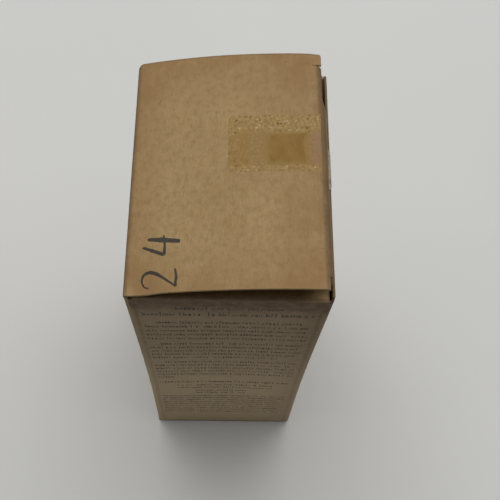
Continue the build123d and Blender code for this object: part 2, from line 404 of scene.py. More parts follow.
def wall_place(start, direction, straight, sag, has_fold, blank_start, set_in):
    """Gives the call that places a point of a wall: a along the girth, b up, d its depth."""
    start, direction = np.array(start), np.array(direction, float)
    side = np.array([-direction[1], direction[0]])
    fold_centre = start + direction * straight + side * upright_fold

    def place(a, b, d):
        along = np.clip(a, None, straight)
        turn = np.clip(a - straight, 0, None) / upright_fold if has_fold else 0 * a
        across = np.clip(along / straight, 0, 1)
        up = np.clip(b / carton_height, 0, 1)
        lift = np.sin(pi * across) ** 2 * np.sin(pi * up) ** 1.3 if sag else 0 * a
        inwards = lift * (sag + wall_ripple * (1 + uneven(a + blank_start, b)))
        inwards = inwards + set_in * np.sin(pi * across) ** 0.5
        straight_xy = start + along[:, None] * direction + (inwards + d)[:, None] * side
        outward = -np.cos(turn)[:, None] * side + np.sin(turn)[:, None] * direction
        arc_xy = fold_centre + outward * (upright_fold - d)[:, None]
        xy = np.where((turn > 0)[:, None], arc_xy, straight_xy)
        at_front = smooth((waist_end - xy[:, 1]) / (waist_end - front_y))
        narrowed = 1 - waist * at_front * np.sin(pi * up) ** 1.2
        return np.column_stack([xy[:, 0] * narrowed, xy[:, 1], b])

    return place


for wall, (start, direction, corner) in walls.items():
    low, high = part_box(wall)
    bottom, top = low.z / mm, high.z / mm
    if corner:
        straight = abs(corner[0] - start[0]) + abs(corner[1] - start[1]) - upright_fold
        full = straight + fold_arc
    else:
        straight = full = high.y / mm - start[1]
    set_in = {"front_wall": 0.09, "seam_flap": 0.0}.get(wall, 0.02)  # room for the print on the front
    place = wall_place(start, direction, straight, wall_sag[wall], corner is not None, blank_a, set_in)
    wall_places[wall], wall_blank[wall] = place, blank_a

    def seam_taper(b, low=bottom, high=top, end=full):
        """The seam flap's slanted ends, and the right wall's worn corners at its raw edge."""
        near_end = np.minimum(b - low, high - b)
        if wall == "seam_flap":
            return np.clip(seam_reach - near_end / end_slant, 0, None), np.full(len(b), end)
        if wall == "right_wall":
            return np.zeros(len(b)), end - corner_drop(near_end, worn_end)
        return np.zeros(len(b)), np.full(len(b), end)

    columns = spread(0, straight, 1.0) / full
    if corner:
        columns = np.concatenate([columns, (straight + fold_arc * fold_steps) / full])
    else:
        columns[-1] = 1.0

    def wall_rub(a, b, straight=straight, bottom=bottom, top=top, corner=corner, full=full):
        """Rubbed along both of its upright sides, and at its top and foot."""
        last = near_line(a - straight - fold_arc / 2, 1.3) if corner else near_line(a - full, 0.8)
        ends = near_line(b - top, 0.8) + near_line(b - bottom, 1.2)
        return 0.85 * (near_line(a, 0.9) + last) + 0.7 * ends

    def wall_margin(a, b, bottom=bottom, top=top, full=full):
        """Darker near every side."""
        edge = np.minimum(np.minimum(a, full - a), np.minimum(b - bottom, top - b))
        return 0.8 * near_line(np.clip(edge, 0, None), 9.0)

    # Darkening at the wall's top, how far down that band reaches, and dirt at the front wall's right side. On
    # the front wall the top band is strong, and is painted shade under the lid's edge; on the other walls it is
    # weak.
    top_soil_and_shade = {"front_wall": 0.88, "seam_flap": 0.2}.get(wall, 0.18)
    side_soil = 0.17 if wall == "front_wall" else 0.0
    top_band_reach = 12.0 if wall == "front_wall" else 9.0

    def wall_soil_and_shade(
        a, b, top=top, straight=straight, top_soil_and_shade=top_soil_and_shade, side_soil=side_soil, reach=top_band_reach
    ):
        """Darker towards the top over 75 mm, with a band at the top that on the front wall is painted shade
        under the lid's edge; soiled in a thin line beside each upright fold, and at one side.
        """
        below = top - b
        fold_line_soil = near_line(a - straight + 0.9, 0.7) + near_line(a - 0.9, 0.7)
        # painted shade: the front wall's top band stands for the shade under the lid's edge, over a broad
        # darkening towards the top of every wall
        top_darkening = 0.42 * smooth((75 - below) / 55) + top_soil_and_shade * near_line(np.clip(below, 0, None), reach)
        return top_darkening + 0.30 * fold_line_soil + side_soil * smooth((a - straight + 10) / 9)

    raw = {"seam_flap": ("a0", "b0", "b1"), "right_wall": ("a1", "b0", "b1")}.get(wall, ("b0", "b1"))
    piece = closed_sheet(
        wall + "_board", place, seam_taper, spread(bottom, top, 1.1), columns, raw,
        lambda a, b, start=blank_a: (a + start, b), wall_rub, wall_margin, kraft_board, wall_soil_and_shade,
        0.0 if wall == "seam_flap" else 1.0,
    )
    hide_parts(wall)
    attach(piece, "sleeve")
    blank_a += full

# ---------------------------------------------------------------------------------------------
# The glue line: hide glue brushed thin between the seam flap and the right wall, and dried amber.
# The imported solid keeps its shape, and takes this finish.
glue_dark, glue_light = (0.20, 0.105, 0.035, 1), (0.36, 0.21, 0.085, 1)
glue_amber, tree, shader = new_finish("dried_glue", 0.42)
place = shader_node(tree, "ShaderNodeTexCoord").outputs["Object"]
brushed = noisy(tree, place, 260.0, 3.0, 0.6, 0.0, (6, 6, 0.6))
colour = mixed(tree, stepped(tree, brushed, 0.35, 0.65), glue_dark, glue_light)
tree.links.new(colour, shader.inputs["Base Color"])
tree.links.new(stepped(tree, brushed, 0.3, 0.7, 0.35, 0.6), shader.inputs["Roughness"])
relief(tree, shader, brushed, 0.03 * mm)
glue_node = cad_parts["seam_glue"]
glue_node.data.materials.clear()
glue_node.data.materials.append(glue_amber)

# ---------------------------------------------------------------------------------------------
# The lid: a panel of the blank creased off the left wall, arched and standing ajar with age.
# Its back corner at the hinge is worn round, and its front corner there is pressed flat.
hinge_x, hinge_z = left_x, carton_height
lid_angle = radians(8.0)  # ajar
lid_bow = 1.7  # height of its arch over its chord
lid_length = carton_width - board - 0.75
lid_back, lid_front = back_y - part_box("lid_panel")[1].y / mm, back_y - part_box("lid_panel")[0].y / mm
lid_radius = (lid_length**2 / 4 + lid_bow**2) / (2 * lid_bow)
crease_reach = 0.9  # from the hinge line to the end of the crease's bend
fold_reach = 2.2  # from the fold's corner to either end of its bend
tuck_from_back, tuck_to_front = (
    back_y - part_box("lid_tuck_flap")[1].y / mm,
    back_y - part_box("lid_tuck_flap")[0].y / mm,
)
worn_corner, cut_corner = 1.6, 0.8
askew = 0.35  # how much longer the lid has crept at its front, and shorter at its back
press, press_at, press_long, press_deep = 0.60, 4.2, 3.0, 4.0  # the near corner that was pressed flat
droop = 0.35  # how far the far corner hangs, where no tuck flap holds it up
lid_blank_a = wall_blank["left_wall"] - upright_fold


def fold_line(b):
    """The lid's length along its chord. It has crept a little askew, longer at the front."""
    return lid_length + askew * (b - carton_depth / 2) / (carton_depth / 2)


def lid_point(s, b, d):
    """A point of the lid: s from the hinge along the chord, b from the back corner, d its depth."""
    from_middle = s - lid_length / 2
    arch = np.sqrt(lid_radius**2 - from_middle**2)
    rise = lid_bow - lid_radius + arch
    slope = -from_middle / arch
    pressed = press * np.exp(-(((s - press_at) / press_long) ** 2))
    pressed = pressed * np.exp(-(((b - lid_front) / press_deep) ** 2))
    far_droop = droop * smooth((s - lid_length + 4.0) / 4.0) * smooth((tuck_from_back + 1.5 - b) / 3.0)
    wave = 0.06 * uneven(b + lid_blank_a, s + carton_height) * smooth(s / 6) * smooth((lid_length - s) / 5)
    rise = rise - pressed * smooth(s / 1.5) - far_droop + wave - 0.03
    size = np.sqrt(1 + slope**2)
    along, up = s + slope / size * d, rise - d / size
    x = hinge_x + along * cos(lid_angle) - up * sin(lid_angle)
    z = hinge_z + along * sin(lid_angle) + up * cos(lid_angle)
    return np.column_stack([x, back_y - b, z])


def lid_spans(b):
    """From the crease to the fold. Behind the tuck flap the lid runs out to its own cut edge."""
    from_edge = b - lid_back
    corner = corner_drop(from_edge, worn_corner)
    first = np.where(from_edge < worn_corner, corner + 0.05, crease_reach)
    first = np.maximum(first, np.where(from_edge < worn_corner * 0.75, corner, crease_reach))
    past_flap = corner_drop(from_edge, cut_corner)
    return first, fold_line(b) - np.where(b < tuck_from_back, past_flap, fold_reach)


def lid_rub(s, b):
    """Rubbed at its cut ends, along the hinge and along the fold."""
    ends = near_line(b - lid_front, 0.7) + near_line(b - lid_back, 0.5)
    corner = near_line(np.hypot(s - 1.0, b - lid_front), 3.0)
    return 0.5 * ends + 0.5 * near_line(s, 1.3) + 0.7 * corner + 0.30 * near_line(lid_length - s, 2.4)


def lid_margin(s, b):
    """Darker within a finger's width of every side."""
    return (
        0.85 * near_line(s, 12.0)
        + 0.95 * near_line(b - lid_back, 16.0)
        + 0.85 * near_line(b - lid_front, 12.0)
        + 0.95 * near_line(lid_length - s, 15.0)
    )


def lid_edge_lines_and_crease_shade(s, b):
    """A thin darker line round the lid's worn cut ends, and painted shade along its crease at the hinge."""
    ends = near_line(b - lid_back, 0.8) + 0.5 * near_line(b - lid_front, 0.45)
    return 0.50 * (ends + 0.9 * near_line(s - 0.5, 1.0))


lid_rows = np.concatenate([
    lid_back + np.array([0.0, 0.12, 0.3, 0.5, 0.75, 1.05, 1.15, 1.25, 1.55, 1.65]),
    np.array([2.3, 2.8, tuck_from_back - 0.02, tuck_from_back + 0.02]),
    spread(tuck_from_back + 0.4, lid_front, 0.62, 0.3, 1.5),
])
lid_columns = spread(0, 1, 0.0145, 0.006, 0.03)
lid_board = closed_sheet(
    "lid_board", lid_point, lid_spans, lid_rows, lid_columns, ("b0", "b1"),
    lambda s, b: (b + lid_blank_a, s + carton_height), lid_rub, lid_margin, kraft_board, lid_edge_lines_and_crease_shade,
)
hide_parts("lid_panel")
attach(lid_board, "lid")

# ---------------------------------------------------------------------------------------------
# The lid's crease: the same board, scored and bent over the left wall's top.
# It turns with the lid over its short width, and the front end has torn into pale fibres.
middle_b = 30.0  # a line near the middle of the carton's depth, on which the bends are measured


def constant_span(first, last):
    """The same stretch of a in every row."""
    return lambda b: (np.full(len(b), float(first)), np.full(len(b), float(last)))


def bend(start, corner, end, t, d, side=1):
    """A soft bend over three outer points in a plane, each with two coordinates: a quadratic curve.
    Gives the point at share t and depth d, on the side where the board's inner face is."""
    t = t[:, None]
    point = (1 - t) ** 2 * start + 2 * t * (1 - t) * corner + t**2 * end
    way = 2 * (1 - t) * (corner - start) + 2 * t * (end - corner)
    way = way / np.linalg.norm(way, axis=1)[:, None]
    return point + np.column_stack([way[:, 1], -way[:, 0]]) * side * d[:, None]


crease_outer = [
    np.array([left_x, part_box("left_wall")[1].z / mm]),
    np.array([hinge_x, hinge_z]),
    lid_point(np.array([crease_reach]), np.array([middle_b]), np.array([0.0]))[0, [0, 2]],
]


def crease_place(t, b, d):
    """The crease from the wall at 0 to the lid at 1."""
    xz = bend(*crease_outer, t, d)
    lid_end = lid_point(np.full(len(b), crease_reach), b, d)
    share = smooth(t)
    level = lid_point(np.full(len(b), crease_reach), np.full(len(b), middle_b), d)
    xz = xz + share[:, None] * (lid_end - level)[:, [0, 2]]
    return np.column_stack([xz[:, 0], back_y - b, xz[:, 1]])


bend_columns = np.linspace(0, 1, 9)
# The crease's darkening value is painted shade, strongest from the wall to past the crease's middle.
lid_crease = closed_sheet(
    "lid_crease", crease_place, constant_span(0, 1), spread(lid_back + worn_corner * 0.75, lid_front, 1.0),
    bend_columns, ("b0", "b1"),
    lambda t, b: (b + lid_blank_a, carton_height - 0.6 + 1.5 * t),
    lambda t, b: 0.55 * near_line(t - 0.45, 0.8) + 0.8 * near_line(b - lid_front, 2.2),
    lambda t, b: 0 * t + 0.8, kraft_board, lambda t, b: 0.62 - 0.30 * smooth((t - 0.6) / 0.4),
)
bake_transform(lid_crease)

# ---------------------------------------------------------------------------------------------
# The lid's tuck flap: creased off the lid, tucked down inside the right wall with rounded corners.
# The fold between them has gone soft, with a radius of about 2 mm.
tuck_length = 12.0
tuck_corner = 5.0  # radius of its two free corners
wall_gap = 0.10  # between the flap and the right wall, where the flap rests on it
fold_corner = np.array([hinge_x + lid_length * cos(lid_angle), hinge_z + lid_length * sin(lid_angle)])
touch = np.array([right_x - board - wall_gap, carton_height + 2.2])  # where it comes to the wall
tuck_reach = np.linalg.norm(touch - fold_corner)
seam_inside = right_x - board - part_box("seam_flap")[0].x / mm  # the seam flap's step in from the wall
seam_edge = back_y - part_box("seam_flap")[0].y / mm
path_q = np.linspace(0, tuck_length, 241)
lean = np.arctan2(touch[0] - fold_corner[0], fold_corner[1] - touch[1])
path_lean = lean + (-0.04 - lean) * smooth((path_q - tuck_reach + 0.8) / 2.0)
path_x = np.concatenate([[0], np.cumsum(np.sin(path_lean[:-1]) * np.diff(path_q))])
path_z = -np.concatenate([[0], np.cumsum(np.cos(path_lean[:-1]) * np.diff(path_q))])


def tuck_point(b, q, d):
    """A point of the tuck flap: b from the back, q down from the fold, d from the outer face.
    It leans out from the fold to the right wall, and then runs straight down inside it."""
    crept = (fold_line(b) - lid_length) * np.clip(1 - q / tuck_reach, 0, 1)
    turn = np.interp(q, path_q, path_lean)
    over_seam = (seam_inside + 0.05) * smooth((seam_edge + 3.0 - b) / 2.6) * smooth((q - 0.8) / 3.0)
    wave = 0.05 * (uneven(b + lid_blank_a, q + 170) - 1) * smooth(q / 4)
    x = fold_corner[0] + crept - over_seam + np.interp(q, path_q, path_x) + (wave - d) * np.cos(turn)
    z = fold_corner[1] + np.interp(q, path_q, path_z) + (wave - d) * np.sin(turn)
    return np.column_stack([x, back_y - b, z])


def tuck_spans(q):
    """The flap's ends, rounded at its free edge."""
    drop = corner_drop(tuck_length - q, tuck_corner)
    return tuck_from_back + drop, tuck_to_front - drop


free_edge_rows = tuck_length - np.array([4.2, 3.4, 2.6, 1.9, 1.3, 0.8, 0.4, 0.15, 0.0])
tuck_rows = np.concatenate([np.linspace(fold_reach, 7.0, 7), free_edge_rows])
tuck_blank = carton_height + lid_length
lid_tuck = closed_sheet(
    "lid_tuck_board", tuck_point, tuck_spans, tuck_rows, spread(0, 1, 0.02, 0.008, 0.03),
    ("a0", "a1", "b1"), lambda b, q: (b + lid_blank_a, q + tuck_blank),
    lambda b, q: 0.5 * near_line(q - tuck_length, 0.8), lambda b, q: 0.3 * near_line(q - tuck_length, 5),
    kraft_board, lambda b, q: 0.25 + 0 * q,
)
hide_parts("lid_tuck_flap")
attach(lid_tuck, "lid_tuck")


def fold_place(t, b, d):
    """The soft fold from the lid at 0 to the tuck flap at 1."""
    start = lid_point(fold_line(b) - fold_reach, b, 0 * d)[:, [0, 2]]
    end = tuck_point(b, np.full(len(t), fold_reach), 0 * d)[:, [0, 2]]
    corner = fold_corner + np.outer(fold_line(b) - lid_length, (cos(lid_angle), sin(lid_angle)))
    xz = bend(start, corner, end, t, d)
    return np.column_stack([xz[:, 0], back_y - b, xz[:, 1]])


front_ear = 0.56  # how much of the bend's way round the lid's front end keeps, past the tuck flap


def fold_spans(b):
    """The whole bend over the tuck flap, and only its upper part at the lid's front end."""
    return np.zeros(len(b)), np.where(b > tuck_to_front, front_ear, 1.0)


fold_rows = np.concatenate([
    spread(tuck_from_back + 0.02, tuck_to_front - 0.02, 0.9, 0.4, 1.6),
    np.array([tuck_to_front + 0.02, 56.4, 57.2, 58.0, 58.4, lid_front]),
])
# The fold's darkening value is painted shade, growing as the fold turns down its steep side, with a thin darker
# line at the lid's front end.
lid_fold = closed_sheet(
    "lid_fold", fold_place, fold_spans, fold_rows, np.linspace(0, 1, 13), ("b0", "b1"),
    lambda t, b: (b + lid_blank_a, tuck_blank - fold_reach + 3.3 * t),
    lambda t, b: 0.55 * near_line(t - 0.45, 0.5) + 0.4 * near_line(b - lid_front, 1.0),
    lambda t, b: 0 * t + 0.9, kraft_board,
    lambda t, b: 0.04 + 0.56 * smooth((t - 0.14) / 0.26) + 0.20 * near_line(b - lid_front, 0.45),
)
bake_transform(lid_fold)

# ---------------------------------------------------------------------------------------------
# The dust flaps: one creased off the front wall and one off the back, under each closure.
# The slanted side clears the hinge, and the square shoulder fills the corner by the tuck flap.
dust_length = 21.0
dust_hinge_side, dust_tuck_side = 1.8, 4.0  # in from the walls at either side
dust_shoulder_front, dust_shoulder_back = 1.0, 1.35  # the same at the shoulders
dust_shoulder = 3.0  # how far in from the crease the shoulder runs
dust_corner, dust_nose = 2.5, 0.8  # radius of the free corners, and of the shoulder's end
hinge_slant, tuck_slant = tan(radians(28)), tan(radians(8))
dust_bend = 0.9  # from the crease's line to the end of its bend
crease_half = 0.6  # from the wall's end to the crease's line
worn_from = carton_width - 4.6  # x in mm, past which the shoulder side has worn and hangs down
shoulder_droop = 1.05


def dust_spans(q, shoulder_side):
    """From the slanted side by the hinge to the shoulder, then the tapered side."""
    drop = corner_drop(dust_length - q, dust_corner)
    shoulder = carton_width - shoulder_side - corner_drop(dust_shoulder - q, dust_nose)
    taper = carton_width - dust_tuck_side - np.clip(q - dust_shoulder, 0, None) * tuck_slant - drop
    return dust_hinge_side + q * hinge_slant + drop, np.where(q < dust_shoulder, shoulder, taper)


dust_rows = np.concatenate([
    np.array([dust_bend, 1.4, 2.0, 2.3, 2.6, 2.8, 2.98, 3.02, 3.4, 4.0]),
    np.linspace(5, 18, 14), dust_length - np.array([2.5, 2.0, 1.5, 1.0, 0.6, 0.3, 0.1, 0.0]),
])


def make_dust_flap(name, crease, wall, body, at_top, at_front, angle):
    """One dust flap and its crease. x runs from the left wall, q from the crease into the carton."""
    y0 = front_y if at_front else back_y
    inward = 1 if at_front else -1
    low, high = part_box(wall)
    level = (high.z / mm + crease_half) if at_top else (low.z / mm - crease_half)
    wall_end = high.z / mm if at_top else low.z / mm
    up = 1 if at_top else -1
    blank_start = wall_blank[wall] - (upright_fold if at_front else 0)
    shoulder_side = dust_shoulder_front if at_front else dust_shoulder_back

    def height(x, q):
        """How far the flap stands past its crease: its slant, its worn shoulder and its waves."""
        hanging = shoulder_droop * smooth((x - worn_from) / 3.2) * smooth((3.4 - q) / 1.4) * smooth(q / 1.2)
        wave = 0.10 * uneven(x + blank_start, q + 140) * smooth(q / 6)
        return q * sin(angle) - 0.05 * smooth(q / 1.5) - hanging + wave - 0.10 * smooth(q / 4)

    def place(x, q, d):
        """A point of the flap, at depth d from its outer face."""
        z = level + up * (height(x, q) - d * cos(angle))
        y = y0 + inward * (q * cos(angle) + d * sin(angle))
        return np.column_stack([left_x + x, y, z])

    def blank(x, q):
        """Its place on the flat blank."""
        along = x + blank_start if at_front else (right_x - seam_x + carton_width - x) + blank_start
        return along, (level + q if at_top else level - q)

    def shoulder_rub_and_highlight(x, q):
        """Rubbed a little at its crease, and pale where the worn shoulder comes up: wear, and a painted
        highlight on that lit patch.
        """
        return 0.2 * near_line(q, 1.6) + 0.8 * near_line(x - carton_width + 1.6, 2.4) * smooth(q / 0.8)

    # The flap's darkening value is painted shade, meant for the shade under the lid and given to all four
    # flaps, over all of each but its worn shoulder end.
    flap = closed_sheet(
        name + "_board", place, lambda q: dust_spans(q, shoulder_side),
        dust_rows, spread(0, 1, 0.028, 0.01, 0.03), ("a0", "a1", "b1"), blank, shoulder_rub_and_highlight,
        lambda x, q: 0.5 * near_line(q, 5), kraft_board,
        lambda x, q: 0.75 * smooth((worn_from - x) / 3.0) * near_line(q, 9.0),
    )
    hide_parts(name)
    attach(flap, body)

    def crease_point(x, t, d):
        """The crease from the wall at 0 to the flap at 1."""
        end = place(x, np.full(len(x), dust_bend), 0 * d)[:, 1:]
        start = np.column_stack([np.full(len(x), float(y0)), np.full(len(x), wall_end)])
        yz = bend(start, np.array([y0, level]), end, t, d, inward * up)
        return np.column_stack([left_x + x, yz])

    # The crease's darkening value is painted shade, lighter towards the worn shoulder end.
    strip = closed_sheet(
        crease, crease_point,
        constant_span(dust_hinge_side, carton_width - shoulder_side),
        np.linspace(0, 1, 9), spread(0, 1, 0.03, 0.008, 0.02), ("a0", "a1"),
        lambda x, t: blank(x, (crease_half + dust_bend) * t - crease_half),
        lambda x, t: 0.2 * near_line(t - 0.5, 0.7), lambda x, t: 0 * x + 0.7,
        kraft_board, lambda x, t: 0.45 + 0.35 * smooth((worn_from - x) / 3.0), 0.5,
    )
    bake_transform(strip)


dust_ratio = 0.48  # of the lid's angle
for end, angle in (("top", dust_ratio * lid_angle), ("bottom", 0.0)):
    for side in ("front", "back"):
        body = f"{end}_{side}_dust"
        at_top, at_front = end == "top", side == "front"
        make_dust_flap(body + "_flap", body + "_crease", side + "_wall", body, at_top, at_front, angle)

# ---------------------------------------------------------------------------------------------
# The base: the same closure at the other end of the left wall, shut flat under the carton.
# Its panel is scuffed where the carton has stood and slid on shelves.
base_tuck_angle = radians(105.0)
base_way = np.array([cos(base_tuck_angle), sin(base_tuck_angle)])
base_out = np.array([sin(base_tuck_angle), -cos(base_tuck_angle)])
base_corner = np.array([left_x + lid_length, 0.0])
base_fold_reach = 1.2  # from the fold's corner to either end of its bend


def base_point(s, b, d):
    """A point of the bottom panel: s from the hinge, b from the back, d up from its outer face."""
    lift = (0.05 + 0.05 * uneven(b, s - 60)) * smooth(s / 5) * smooth((lid_length - s) / 5)
    lift = lift * smooth(b / 5) * smooth((carton_depth - b) / 5)
    return np.column_stack([left_x + s, back_y - b, lift + d])


def base_tuck_point(b, q, d):
    """A point of the bottom tuck flap, up from the fold."""
    outer = base_corner + q[:, None] * base_way - d[:, None] * base_out
    return np.column_stack([outer[:, 0], back_y - b, outer[:, 1]])


def base_spans(b):
    """The bottom panel has square ends, and runs out to its cut edge beside the tuck flap."""
    outside = (b < tuck_from_back) | (b > tuck_to_front)
    return np.full(len(b), crease_reach), np.where(outside, lid_length - 0.1, lid_length - base_fold_reach)


base_rows = np.concatenate([
    lid_back + np.array([0, 0.3, 0.8, 1.6, 2.4]), [tuck_from_back - 0.02, tuck_from_back + 0.02],
    np.linspace(tuck_from_back + 1, tuck_to_front - 1, 44), [tuck_to_front - 0.02, tuck_to_front + 0.02],
    lid_front - np.array([2.4, 1.6, 0.8, 0.3, 0]),
])


def base_rub(s, b):
    """Scuffed all over, and more along its free sides."""
    return 0.7 * near_line(np.minimum(np.minimum(b - lid_back, lid_front - b), lid_length - s), 3.0) + 0.25


bottom_board = closed_sheet(
    "bottom_panel_board", base_point, base_spans, base_rows, spread(0, 1, 0.028, 0.01, 0.03), ("b0", "b1"),
    lambda s, b: (b + lid_blank_a, -s), base_rub,
    lambda s, b: 0.8 * near_line(np.minimum(np.minimum(b, carton_depth - b), s), 9.0), kraft_board,
)
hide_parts("bottom_panel")
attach(bottom_board, "bottom_panel")

base_tuck_rows = np.concatenate([[base_fold_reach, 1.8], tuck_rows[1:]])
bottom_tuck = closed_sheet(
    "bottom_tuck_board", base_tuck_point, tuck_spans, base_tuck_rows, spread(0, 1, 0.02, 0.008, 0.03),
    ("a0", "a1", "b1"), lambda b, q: (b + lid_blank_a, -lid_length - q),
    lambda b, q: 0.5 * near_line(q - tuck_length, 0.8), lambda b, q: 0.3 * near_line(q, 5), kraft_board,
)
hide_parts("bottom_tuck_flap")
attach(bottom_tuck, "bottom_tuck")

base_creases = {
    # name: bodies, outer points of the bend, its ends, and its place on the blank
    "bottom_crease": (
        "sleeve", "bottom_panel",
        ((left_x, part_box("left_wall")[0].z / mm), (left_x, 0.0), (left_x + crease_reach, 0.0)),
        (lid_back, lid_front), 0,
    ),
    "bottom_fold": (
        "bottom_panel", "bottom_tuck",
        ((base_corner[0] - base_fold_reach, 0.0), base_corner, base_corner + base_fold_reach * base_way),
        (tuck_from_back, tuck_to_front), -lid_length,
    ),
}
for name, (body, next_body, outer, (first, last), at) in base_creases.items():
    outer = [np.array(point, float) for point in outer]

    def strip_place(t, b, d, outer=outer):
        """The crease from one panel at 0 to the next at 1."""
        xz = bend(*outer, t, d, -1)
        return np.column_stack([xz[:, 0], back_y - b, xz[:, 1]])

    strip = closed_sheet(
        name, strip_place, constant_span(0, 1), spread(first, last, 1.2), bend_columns, ("b0", "b1"),
        lambda t, b, at=at: (b + lid_blank_a, at - 1.5 * t),
        lambda t, b: 0.8 * near_line(t - 0.5, 0.8), lambda t, b: 0 * t + 0.8, kraft_board,
    )
    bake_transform(strip)

# ---------------------------------------------------------------------------------------------
# The sealing tape's gum: a crust of dried animal gum and torn paper fibre, left on the lid when
# the strip was pulled off. It is cream and speckled, and stained brown where it was thickest.
gum_low, gum_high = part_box("tape_residue")
gum_back, gum_front = back_y - gum_high.y / mm, back_y - gum_low.y / mm
gum_end = lid_length - 0.8
gum_start = gum_end - 21.0
crust_step = 0.16
film_root = 0.05  # how deep a film's underside lies in the board
film_sharp = 80  # degrees, so that crumbs and fibres stay soft
gum_cream = (0.436, 0.302, 0.120, 1)
gum_fleck = (0.600, 0.480, 0.280, 1)
gum_brown = (0.320, 0.182, 0.050, 1)
gum_base = (0.362, 0.230, 0.084, 1)
gum_speck = (0.170, 0.100, 0.035, 1)
gum_pink = (0.320, 0.205, 0.120, 1)

tape_gum, tree, shader = new_finish("tape_gum", 0.6)
place = attribute(tree, "sheet", "Vector")
cream, brown = attribute(tree, "cream", "Fac"), attribute(tree, "brown", "Fac")
pink = attribute(tree, "pink", "Fac")
crumb = noisy(tree, place, 1.35, 4.0, 0.65)
fine = noisy(tree, place, 4.5, 3.0, 0.7)
colour = mixed(tree, stepped(tree, crumb, 0.35, 0.65), kraft_dark, gum_base)
patch = noisy(tree, place, 0.50, 4.0, 0.65)
cream_share = times(tree, cream, stepped(tree, crumb, 0.42, 0.56))
cream_share = times(tree, cream_share, stepped(tree, patch, 0.36, 0.54, 0.25, 1.0))
colour = mixed(tree, times(tree, cream_share, 0.75), colour, gum_cream)
blotch = stepped(tree, noisy(tree, place, 0.55, 4.0, 0.6), 0.36, 0.60)
brown_share = times(tree, brown, blotch)
colour = mixed(tree, times(tree, brown_share, 0.85), colour, gum_brown)
pink_share = times(tree, pink, stepped(tree, patch, 0.30, 0.55, 0.35, 1.0))
colour = mixed(tree, times(tree, pink_share, 0.80), colour, gum_pink)
crumbs = times(tree, specks(tree, place, 0.95, 0.34, 0.40), plus(tree, cream, 0.25))
colour = mixed(tree, times(tree, crumbs, 0.75), colour, gum_speck)
torn_dashes = specks(tree, place, 0.85, 0.20, 0.30, 1.5, (0.55, 1.9, 1))
colour = mixed(tree, times(tree, torn_dashes, 0.60), colour, gum_speck)
flecks = times(tree, specks(tree, place, 1.3, 0.36, 0.30), plus(tree, cream, 0.1))
flecks = times(tree, flecks, stepped(tree, patch, 0.40, 0.52))
colour = mixed(tree, times(tree, flecks, 0.65), colour, gum_fleck)
tree.links.new(colour, shader.inputs["Base Color"])
tree.links.new(stepped(tree, fine, 0.3, 0.7, 0.48, 0.8), shader.inputs["Roughness"])
relief(tree, shader, plus(tree, times(tree, crumb, 0.6), fine), 0.06 * mm)
shader.inputs["Specular IOR Level"].default_value = 0.12


def film_faces(rows, columns):
    """The faces of a closed film: a grid, the same grid under it, and the side between them."""
    count, faces = rows * columns, []
    for i in range(rows - 1):
        for j in range(columns - 1):
            k = i * columns + j
            faces.append((k, k + 1, k + columns + 1, k + columns))
            faces.append((count + k, count + k + columns, count + k + columns + 1, count + k + 1))
    ring = [i * columns + j for i, j in around_grid(rows, columns)]
    for v, w in zip(ring, ring[1:] + ring[:1]):
        faces.append((v, count + v, count + w, w))
    return faces


def crust(name, start, end, back, front, height, stored_values, material):
    """A thin crust on the lid. Its top follows a height in mm, and dips into the board where that is
    below 0, which gives it a ragged outline."""
    s = np.arange(start, end + crust_step / 2, crust_step)
    b = np.arange(back, front + crust_step / 2, crust_step)
    ss, bb = (v.ravel() for v in np.meshgrid(s, b))
    past_fold = np.clip(ss - fold_line(bb) + fold_reach, 0, None)
    bend_drop = past_fold**2 / (4 * fold_reach)
    top = lid_point(ss, bb, bend_drop - height(ss, bb))
    under = lid_point(ss, bb, bend_drop + film_root)
    stored = {key: np.tile(np.clip(value, 0, 1), 2) for key, value in stored_values(ss, bb).items()}
    on_blank = np.stack([bb + lid_blank_a, ss + carton_height, 0 * ss], axis=1)
    stored["sheet"] = np.concatenate([on_blank, on_blank])
    faces = film_faces(len(b), len(s))
    return finish_mesh(name, np.concatenate([top, under]), faces, stored, material, film_sharp)


def gum_height(s, b):
    """Crumbly gum within a ragged strip, thickest along its two long edges."""
    edge = np.minimum(np.minimum(s - gum_start, gum_end + 0.6 - s), np.minimum(b - gum_back, gum_front - b))
    edge = edge - 0.35 - 0.25 * ragged(s, b, 1.9) - 0.20 * ragged(s, b, 5.0)
    band = near_line(b - gum_back - 2.6, 3.2) + near_line(b - gum_front + 1.2, 1.7) + 0.35
    rough = 0.5 + 0.5 * ragged(s, b * 1.1, 1.0) + 0.35 * ragged(s, b, 0.42)
    thickness = np.minimum(0.012 + 0.075 * band * np.clip(rough, 0, 1.2), 0.085)
    return np.where(edge > 0, thickness * smooth(edge / 0.35), -0.03)


def gum_values(s, b):
    """Where the gum is cream, brown or pink."""
    top_band = smooth((gum_back + 5.6 - b) / 1.4)
    low_band = smooth((b - gum_front + 2.4) / 1.0)
    left_part = smooth((gum_start + 6.5 - s) / 3.0)
    middle = smooth((s - gum_start - 7.0) / 2.0) * (1 - top_band) * (1 - low_band)
    return {
        "cream": 0.95 * top_band + 0.80 * low_band + 0.35 * left_part + 0.12,
        "brown": 0.95 * left_part * (1 - top_band) * (1 - low_band) + 0.75 * middle,
        "pink": smooth((s - gum_end + 2.6) / 0.8) * (1 - top_band) * (1 - low_band),
    }


gum = crust(
    "tape_gum_crust", gum_start, gum_end - 0.02, gum_back, gum_front, gum_height, gum_values, tape_gum
)
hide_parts("tape_residue")
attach(gum, "lid")

# ---------------------------------------------------------------------------------------------
# The paper ply: a square of the tape's own brown paper that stayed stuck on the gum.
# It is smoother than the gum round it, with a torn outline.
ply_low, ply_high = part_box("tape_ply")
ply_back, ply_front = back_y - ply_high.y / mm, back_y - ply_low.y / mm
ply_end = lid_length - 3.5
ply_start = ply_end - 9.8
ply_light, ply_dark = (0.294, 0.175, 0.047, 1), (0.246, 0.138, 0.032, 1)
ply_fleck, ply_fibre = (0.20, 0.11, 0.030, 1), (0.42, 0.29, 0.12, 1)
ply_thin = (0.320, 0.200, 0.070, 1)

